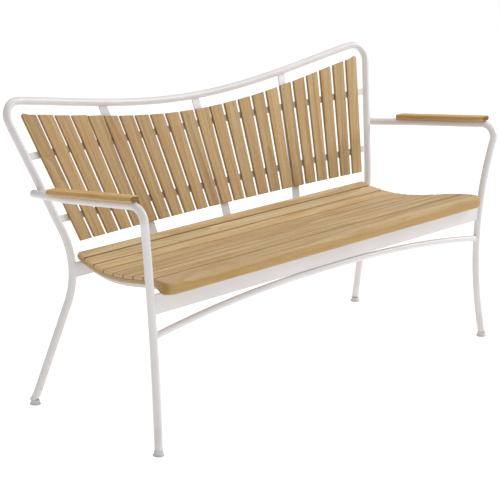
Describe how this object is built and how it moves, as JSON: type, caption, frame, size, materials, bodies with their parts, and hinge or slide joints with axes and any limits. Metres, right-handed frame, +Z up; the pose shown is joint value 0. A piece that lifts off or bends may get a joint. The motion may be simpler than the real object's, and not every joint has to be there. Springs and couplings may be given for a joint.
{
  "type": "garden bench",
  "caption": "Garden bench: bent white round-tube frame, fanned slatted wooden back under a dipping top rail, curved slatted seat, wooden armrests, arched stretcher.",
  "frame": {"origin": "on the ground, at the centre of the bounding box", "axes": "+Z up, front of the seat towards -Y, +X along the bench to the sitter's left (the viewer's right from the front)"},
  "size_m": [1.496, 0.6084, 0.8632],
  "materials": {
    "white_powder_coat": "white powder coat over steel tube, satin, faint orange-peel texture",
    "glide_plastic": "pale grey moulded plastic",
    "teak_armrest": "oiled teak, satin, eased edges",
    "teak_back": "untreated sanded teak, grain along the slat, colour varies from slat to slat",
    "teak_seat": "untreated sanded teak, grain along the slat, eased edges",
    "teak_bearer": "untreated sanded teak, sawn to a curve, grain along the bearer",
    "teak_front_slat": "untreated sanded teak, moulded bull nose"
  },
  "bodies": {
    "root": {"front_leg_and_arm_right": "white_powder_coat", "front_leg_and_arm_left": "white_powder_coat", "rear_leg_and_post_right": "white_powder_coat", "rear_leg_and_post_left": "white_powder_coat", "top_rail": "white_powder_coat", "front_apron": "white_powder_coat", "rear_apron": "white_powder_coat", "front_stretcher": "white_powder_coat", "seat_rail_right": "white_powder_coat", "seat_rail_left": "white_powder_coat", "seat_rail_middle": "white_powder_coat", "back_bar_upper": "white_powder_coat", "back_bar_lower": "white_powder_coat", "back_strap_left": "white_powder_coat", "back_strap_middle": "white_powder_coat", "back_strap_right": "white_powder_coat", "arm_tube_cap_right": "white_powder_coat", "arm_tube_cap_left": "white_powder_coat", "foot_glide_front_right": "glide_plastic", "foot_glide_front_left": "glide_plastic", "foot_glide_rear_right": "glide_plastic", "foot_glide_rear_left": "glide_plastic", "armrest_right": "teak_armrest", "armrest_left": "teak_armrest", "back_slat_01": "teak_back", "back_slat_02": "teak_back", "back_slat_03": "teak_back", "back_slat_04": "teak_back", "back_slat_05": "teak_back", "back_slat_06": "teak_back", "back_slat_07": "teak_back", "back_slat_08": "teak_back", "back_slat_09": "teak_back", "back_slat_10": "teak_back", "back_slat_11": "teak_back", "back_slat_12": "teak_back", "back_slat_13": "teak_back", "back_slat_14": "teak_back", "back_slat_15": "teak_back", "back_slat_16": "teak_back", "back_slat_17": "teak_back", "back_slat_18": "teak_back", "back_slat_19": "teak_back", "back_slat_20": "teak_back", "back_slat_21": "teak_back", "back_slat_22": "teak_back", "back_slat_23": "teak_back", "seat_slat_01": "teak_seat", "seat_slat_02": "teak_seat", "seat_slat_03": "teak_seat", "seat_slat_04": "teak_seat", "seat_slat_05": "teak_seat", "seat_slat_06": "teak_seat", "seat_slat_07": "teak_seat", "seat_slat_08": "teak_seat", "seat_slat_front": "teak_front_slat", "seat_bearer_right": "teak_bearer", "seat_bearer_left": "teak_bearer", "seat_bearer_middle": "teak_bearer"}
  },
  "joints": []
}
